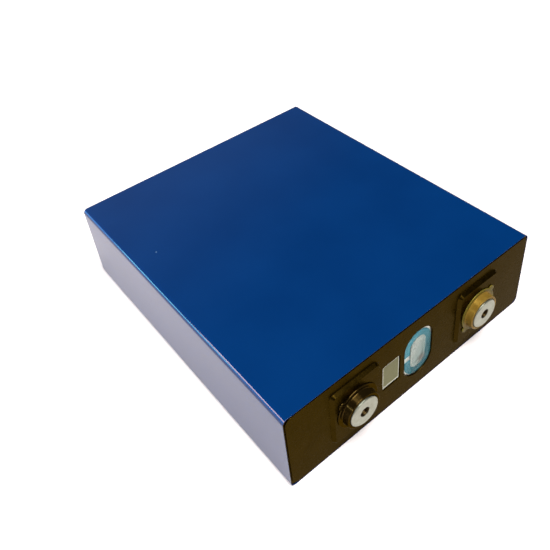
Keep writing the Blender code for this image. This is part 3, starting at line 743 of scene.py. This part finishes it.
def build_cover(material):
    """The black lid cover: one moulding, raised round each terminal, with two windows. It reaches a little
    past its CAD box, up to the film."""
    width = COVER_HIGH[0] - COVER_LOW[0] + 2 * COVER_SPREAD
    length = COVER_HIGH[1] - COVER_LOW[1] + 2 * COVER_SPREAD
    top = COVER_HIGH[2]
    bottom = -COVER_THICKNESS
    edge, hole_edge, plateau_edge = 0.08, 0.2, 0.18
    shape = Shape()

    # Two of its edges step down, which leaves a dark groove between the lid and the film.
    step = rounded_path([(0.0, bottom, 0), (0.0, REBATE_HEIGHT, edge), (-0.1, REBATE_HEIGHT, 0)], 3)
    rise = rounded_path([(0.0, REBATE_HEIGHT, 0), (0.0, 0.0, edge), (-1.2, 0.0, 0)], 3)
    foot = rounded_rectangle(width, length, COVER_CORNER, 10, marks(10))
    face = rounded_rectangle(width - REBATE, length - REBATE, REBATE_CORNER, 10, marks(10))
    face = face.moved(REBATE / 2 - COVER_SPREAD, COVER_SPREAD - REBATE / 2)
    border = shape.around(foot, step) + shape.around(face, rise)
    shape.strips(border)
    top_holes, bottom_holes = [], []

    window_path = rounded_path([(0.8, 0.0, 0), (0.0, 0.0, hole_edge), (0.0, bottom, 0)])
    for window in (stadium(VENT_WINDOW, 20), rounded_rectangle(*CODE_WINDOW, 0.8, 6).moved(CODE_X)):
        rows = shape.around(window, window_path)
        shape.strips(rows)
        top_holes.append(rows[0])
        bottom_holes.append(rows[-1])

    plateau = rounded_rectangle(PLATEAU_WIDTH, PLATEAU_LENGTH, PLATEAU_CORNER, 8, marks(14), marks(16))
    slope = rounded_path(
        [(0.6, 0.0, 0), (0.0, 0.0, 0.2), (-PLATEAU_LEAN, top, plateau_edge), (-PLATEAU_LEAN - 1.0, top, 0)]
    )
    hole = rounded_path(
        [(COLLAR_HOLE + 0.6, top, 0), (COLLAR_HOLE, top, hole_edge), (COLLAR_HOLE, bottom, 0)]
    )
    for terminal in TERMINALS.values():
        centre = np.array([terminal["x"], 0.0])
        rows = shape.around(plateau.moved(terminal["x"]), slope)
        rows += shape.turned(centre, plateau.spokes(), hole)
        shape.strips(rows)
        top_holes.append(rows[0])
        bottom_holes.append(rows[-1])
    shape.fill(border[-1], *top_holes)
    shape.fill(border[0], *bottom_holes)
    place("lid_cover_moulding", shape, "black_cover", material, "lid_cover")


def build_label(material):
    """The code field, a plain rectangle."""
    width, length, _ = LABEL_HIGH - LABEL_LOW
    outline = rounded_rectangle(width, length, 0.4, 6).moved((LABEL_LOW[0] + LABEL_HIGH[0]) / 2)
    shape = slab(outline, LABEL_LOW[2], LABEL_HIGH[2], low_rounding=0.05, high_rounding=0.08, border=0.3)
    place("code_field", shape, "blank_label", material, "code_label")


# -------------------------------------------------------------------------------------------- vent pieces


def ring_outline():
    """The outline of the C-shaped ring, open at a notch on the side of the code field. It runs round the
    outside from one side of the notch to the other, and back round the inside."""
    outer_x, inner_x = -VENT_FILM[0] / 2, -VENT_OPENING[0] / 2
    rounding = NOTCH_ROUNDING
    corner_y = VENT_NOTCH / 2 + rounding
    inside_points, inside_normals = stadium(VENT_OPENING, 24).cut_open(inner_x)
    stretches = (
        stadium(VENT_FILM, 24).cut_open(outer_x),
        arc(outer_x + rounding, corner_y, rounding, 180, 270, 5),
        arc(inner_x - rounding, corner_y, rounding, 270, 360, 5),
        (inside_points[::-1], -inside_normals[::-1]),
        arc(inner_x - rounding, -corner_y, rounding, 0, 90, 5),
        arc(outer_x + rounding, -corner_y, rounding, 90, 180, 5),
    )
    return Outline(*(np.concatenate(rows) for rows in zip(*stretches)))


def build_vent(ring_material, sheet_material):
    """The teal ring and the clear film over it."""
    place_in_window = {"x": VENT_FILM_X, "y": VENT_FILM_Y, "turn": VENT_FILM_TURN}
    ring = ring_outline().moved(**place_in_window)
    shape = slab(ring, RING_LOW[2], RING_HIGH[2], low_rounding=0.05, high_rounding=0.07, border=0.2)
    place("vent_adhesive_ring", shape, "teal_adhesive", ring_material, "vent_film_adhesive")
    sheet = stadium(VENT_FILM, 24).moved(**place_in_window)
    shape = slab(sheet, SHEET_LOW[2], SHEET_HIGH[2], low_rounding=0.04, high_rounding=0.05, border=0.3)
    place("vent_clear_sheet", shape, "clear_film", sheet_material, "vent_film")


# ---------------------------------------------------------------------------------------- terminal pieces


def flange_outline():
    """The collar's flange from above: a circle with an ear at either end of one diagonal."""
    half = EAR_WIDTH / 2
    root = math.sqrt(FLANGE_RADIUS**2 - half**2)
    shoulder = EAR_REACH - EAR_ROUNDING
    halfway = root + (shoulder - root) * 0.5
    flat = half - EAR_ROUNDING
    rim_start = math.degrees(math.asin(half / FLANGE_RADIUS))
    rim_points, rim_normals = arc(0.0, 0.0, FLANGE_RADIUS, rim_start, 180 - rim_start, 44)
    stretches = (
        ([(root, -half), (halfway, -half)], [(0.0, -1.0)] * 2),
        arc(shoulder, -flat, EAR_ROUNDING, -90, 0, 7),
        arc(shoulder, flat, EAR_ROUNDING, 0, 90, 7),
        ([(halfway, half), (root, half)], [(0.0, 1.0)] * 2),
        (rim_points[1:-1], rim_normals[1:-1]),
    )
    points, normals = (np.concatenate(rows) for rows in zip(*stretches))
    return Outline(np.concatenate([points, -points]), np.concatenate([normals, -normals]))


def build_collar(side, material):
    """The insulating collar: a cup round the terminal block, which narrows slightly towards its top, on a
    flange with two ears."""
    terminal = TERMINALS[side]
    flange = flange_outline().moved(turn=EAR_ANGLES[side])
    centre = np.array([terminal["x"], 0.0])
    top, underside = terminal["collar_high"], terminal["collar_low"]
    cup = rounded_path(
        [
            (POST_HOLE, COLLAR_FLOOR, 0),
            (COLLAR_BORE, COLLAR_FLOOR, 0.3),
            (COLLAR_BORE, top, 0.2),
            (COLLAR_RADIUS - COLLAR_DRAFT_IN, top, 0.35),
            (COLLAR_RADIUS + COLLAR_DRAFT_OUT, FLANGE_TOP, 0.5),
            (COLLAR_RADIUS + 1.5, FLANGE_TOP, 0),
        ]
    )
    rim = rounded_path(
        [
            (-0.7, FLANGE_TOP, 0),
            (0.0, FLANGE_TOP, 0.36),
            (0.0, FLANGE_UNDERSIDE, 0.12),
            (-0.5, FLANGE_UNDERSIDE, 0),
        ]
    )
    spigot = rounded_path(
        [
            (COLLAR_RADIUS + 0.4, FLANGE_UNDERSIDE, 0),
            (COLLAR_RADIUS, FLANGE_UNDERSIDE, 0.15),
            (COLLAR_RADIUS, underside, 0.15),
            (POST_HOLE, underside, 0),
        ]
    )
    shape = Shape()
    rows = shape.turned(centre, flange.spokes(), cup)
    rows += [shape.row(centre + flange.offset(offset), height) for offset, height in rim]
    rows += shape.turned(centre, flange.spokes(), spigot)
    shape.strips(rows, closed=True)
    place(side + "_collar_moulding", shape, side + "_collar", material, side + "_collar")


def build_block(side, material):
    """The terminal block, faced and chamfered, with a tapped hole."""
    terminal = TERMINALS[side]
    angles = np.linspace(0, 2 * math.pi, 96, endpoint=False)
    spokes = directions(angles)
    centre = np.array([terminal["x"], 0.0])
    radius, top, underside = terminal["block_radius"], terminal["block_high"], terminal["block_low"]
    mouth_end = top - THREAD_START
    thread_end = top - THREAD_DEPTH
    row_step = 0.1
    outside = rounded_path(
        [
            (radius - 1.0, underside, 0),
            (radius, underside, 0.1),
            (radius, top - BLOCK_CHAMFER, 0.12),
            (radius - BLOCK_CHAMFER, top, 0.12),
            (THREAD_MOUTH, top, 0.06),
            (THREAD_MINOR, mouth_end, 0),
        ]
    )
    shape = Shape()
    rows = shape.turned(centre, spokes, outside[:-1])
    for height in np.arange(mouth_end, thread_end + row_step / 2, -row_step):
        turns = (height / THREAD_PITCH - angles / (2 * math.pi)) % 1.0
        crest = 1 - 2 * np.abs(turns - 0.5)
        # The thread starts shallow at its mouth and runs out at its end.
        fade = min(1.0, (height - thread_end) / 0.6, (mouth_end + 0.15 - height) / 0.3)
        radii = THREAD_MINOR + THREAD_HEIGHT * crest * max(0.0, fade)
        rows.append(shape.row(centre + spokes * radii[:, None], height))
    rows.append(shape.row(centre + spokes * THREAD_MINOR, thread_end))
    shape.strips(rows)
    shape.hub(rows[-1], (*centre, thread_end - DRILL_TIP))
    shape.fill(rows[0])
    place(side + "_terminal_block", shape, "terminal_aluminium", material, side + "_terminal")


# --------------------------------------------------------------------------------------------- the object


def build_shell():
    """The pieces that replace CAD nodes, each with its own material."""
    build_film(blue_film())
    patch = plain_plastic("base_patch", (0.05, 0.09, 0.16), (0.06, 0.11, 0.20), 0.4, 1.5, 0.01, IOR=1.5)
    build_base_patch(patch)
    build_cover(black_cover())
    build_label(blank_label())
    build_vent(teal_adhesive(), clear_film())
    build_collar("negative", black_collar())
    build_collar("positive", tan_collar())
    for side in TERMINALS:
        build_block(side, turned_aluminium(side))


def paint(material, *nodes):
    """Gives CAD nodes that stay as they are a finished material."""
    for node in nodes:
        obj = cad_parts[node]
        if not obj.material_slots:
            obj.data.materials.append(material)
        for material_slot in obj.material_slots:
            material_slot.material = material


def paint_inside():
    """Finishes for the can, the lid plate and all that is under them."""
    # Each metal's plain colour, its stained and clean colours, and its lowest and highest roughness
    lid = ((0.7, 0.7, 0.68), (0.46, 0.48, 0.42), (0.57, 0.59, 0.53), 0.3, 0.45)
    vent = ((0.6, 0.6, 0.58), (0.42, 0.42, 0.38), (0.62, 0.63, 0.60), 0.25, 0.4)
    can = ((0.6, 0.6, 0.6), (0.52, 0.52, 0.52), (0.66, 0.66, 0.66), 0.3, 0.5)
    foil = ((0.7, 0.7, 0.7), (0.6, 0.6, 0.6), (0.74, 0.74, 0.74), 0.25, 0.4)
    rubber = plain_plastic("seal_rubber", (0.015, 0.015, 0.016), (0.022, 0.022, 0.023), 0.6, 0.6, 0.01)
    white = plain_plastic("white_plastic", (0.72, 0.72, 0.70), (0.80, 0.80, 0.78), 0.45, 0.8, 0.005)
    bag = plain_plastic("bag_film", (0.58, 0.60, 0.60), (0.66, 0.68, 0.68), 0.3, 3.0, 0.02)
    tape = plain_plastic("core_tape", (0.02, 0.10, 0.05), (0.03, 0.14, 0.07), 0.35, 2.0, 0.01)
    paint(sheet_aluminium("lid_aluminium", *lid), "lid_plate", "fill_seal_cap")
    paint(sheet_aluminium("vent_aluminium", *vent), "vent_disc")
    paint(sheet_aluminium("can_aluminium", *can), "can")
    paint(rubber, "fill_plug", "negative_seal_ring", "positive_seal_ring")
    paint(white, "lower_insulator", "support_plate")
    paint(bag, "insulation_bag")
    paint(wound_core(), "wound_core_lower", "wound_core_upper")
    paint(tape, "core_tape_lower", "core_tape_upper")
    for side, metal in (("negative", copper()), ("positive", sheet_aluminium("aluminium_inner", *foil))):
        conductors = ("_rivet_post", "_collector", "_tab_lower", "_tab_upper")
        paint(metal, *(side + conductor for conductor in conductors))


# --------------------------------------------------------------------------------------------- the studio


def build_floor():
    """A wide sheet of paper just under the cell."""
    half_size, height = 4.0, -0.0002
    mesh = bpy.data.meshes.new("floor")
    corners = [(x * half_size, y * half_size, height) for x, y in ((-1, -1), (1, -1), (1, 1), (-1, 1))]
    mesh.from_pydata(corners, [], [(0, 1, 2, 3)])
    floor = bpy.data.objects.new("floor", mesh)
    floor.data.materials.append(studio_floor())
    bpy.context.scene.collection.objects.link(floor)


def soft_light(name, position, target, width, height, brightness, colour=(1.0, 1.0, 1.0)):
    """A panel that faces the target. Its sizes are in metres and its brightness is in watts per square
    metre and steradian."""
    light = bpy.data.lights.new(name, "AREA")
    light.shape = "RECTANGLE"
    light.size = width
    light.size_y = height
    light.energy = brightness * math.pi * width * height
    light.color = colour
    holder = bpy.data.objects.new(name, light)
    holder.location = position
    holder.rotation_euler = (Vector(target) - Vector(position)).to_track_quat("-Z", "Y").to_euler()
    bpy.context.scene.collection.objects.link(holder)


def build_lights():
    """A large panel overhead, a small one for the collars, and three that the film's left edge reflects."""
    floor_middle, lid = (0.0, 0.0, 0.0), (0.0, -0.1, 0.03)
    left_edge = (-0.086, 0.0, 0.05)
    soft_light("overhead", (-0.3, -1.3, 3.4), floor_middle, 2.4, 2.4, 23.4)
    soft_light("rim_blue", (-1.004, 0.826, 0.245), left_edge, 0.81, 0.46, 7.0, (0.12, 0.42, 1.0))
    soft_light("rim_cool", (-0.953, 0.780, 0.330), left_edge, 0.38, 0.155, 17.0, (0.30, 0.95, 0.85))
    soft_light("rim_pale", (-0.995, 0.585, 0.675), left_edge, 0.38, 0.35, 20.0, (1.0, 0.76, 0.78))
    soft_light("left_window", (-1.115, -0.193, 0.575), lid, 0.20, 0.16, 48.0, (0.80, 0.90, 1.0))


def build_world():
    """A dark room, paler at and below the horizon and on the side behind the object."""
    world = bpy.data.worlds.new("studio")
    world.use_nodes = True
    tree = world.node_tree
    background = tree.nodes["Background"]
    coordinates = tree.nodes.new("ShaderNodeTexCoord")
    split = tree.nodes.new("ShaderNodeSeparateXYZ")
    tree.links.new(coordinates.outputs["Generated"], split.inputs["Vector"])
    total = tree.nodes.new("ShaderNodeVectorMath")
    total.operation = "ADD"
    height_levels = ((0.0, 0.40), (0.12, 0.30), (0.3, 0.06), (0.45, 0.01), (1.0, 0.005))
    depth_levels = ((0.0, 0.0), (0.42, 0.002), (0.60, 0.045), (0.68, 0.13), (0.80, 0.34), (1.0, 0.6))
    for axis, levels, socket in zip("ZY", (height_levels, depth_levels), total.inputs):
        ramp = tree.nodes.new("ShaderNodeValToRGB")
        tree.links.new(split.outputs[axis], ramp.inputs["Fac"])
        elements = ramp.color_ramp.elements
        elements.remove(elements[1])
        for index, (position, level) in enumerate(levels):
            element = elements[0] if index == 0 else elements.new(position)
            element.position = position
            element.color = (level, level, level, 1.0)
        tree.links.new(ramp.outputs["Color"], socket)
    tree.links.new(total.outputs["Vector"], background.inputs["Color"])
    background.inputs["Strength"].default_value = 1.0
    bpy.context.scene.world = world


def build_camera():
    """The camera: where it stands, the angles that it looks along and its shifted lens."""
    position = (-0.170005, -0.236463, 0.303555)
    azimuth, elevation, roll = (math.radians(angle) for angle in (-36.051, 37.707, -5.436))
    level_right = Vector((math.cos(azimuth), math.sin(azimuth), 0.0))
    level_back = Vector((math.sin(azimuth), -math.cos(azimuth), 0.0))
    back = level_back * math.cos(elevation) + Vector((0.0, 0.0, math.sin(elevation)))
    level_up = back.cross(level_right)
    right = level_right * math.cos(roll) + level_up * math.sin(roll)
    turn = Matrix((right, back.cross(right), back)).transposed().to_4x4()
    data = bpy.data.cameras.new("camera")
    data.lens = 43.061
    data.sensor_width = 36.0
    data.shift_x = -0.03636
    data.shift_y = -0.15455
    data.clip_start = 0.01
    camera = bpy.data.objects.new("camera", data)
    camera.matrix_world = Matrix.Translation(position) @ turn
    bpy.context.scene.collection.objects.link(camera)
    bpy.context.scene.camera = camera


build_shell()
paint_inside()
build_floor()
build_lights()
build_world()
build_camera()
bpy.context.scene.view_settings.view_transform = "Standard"
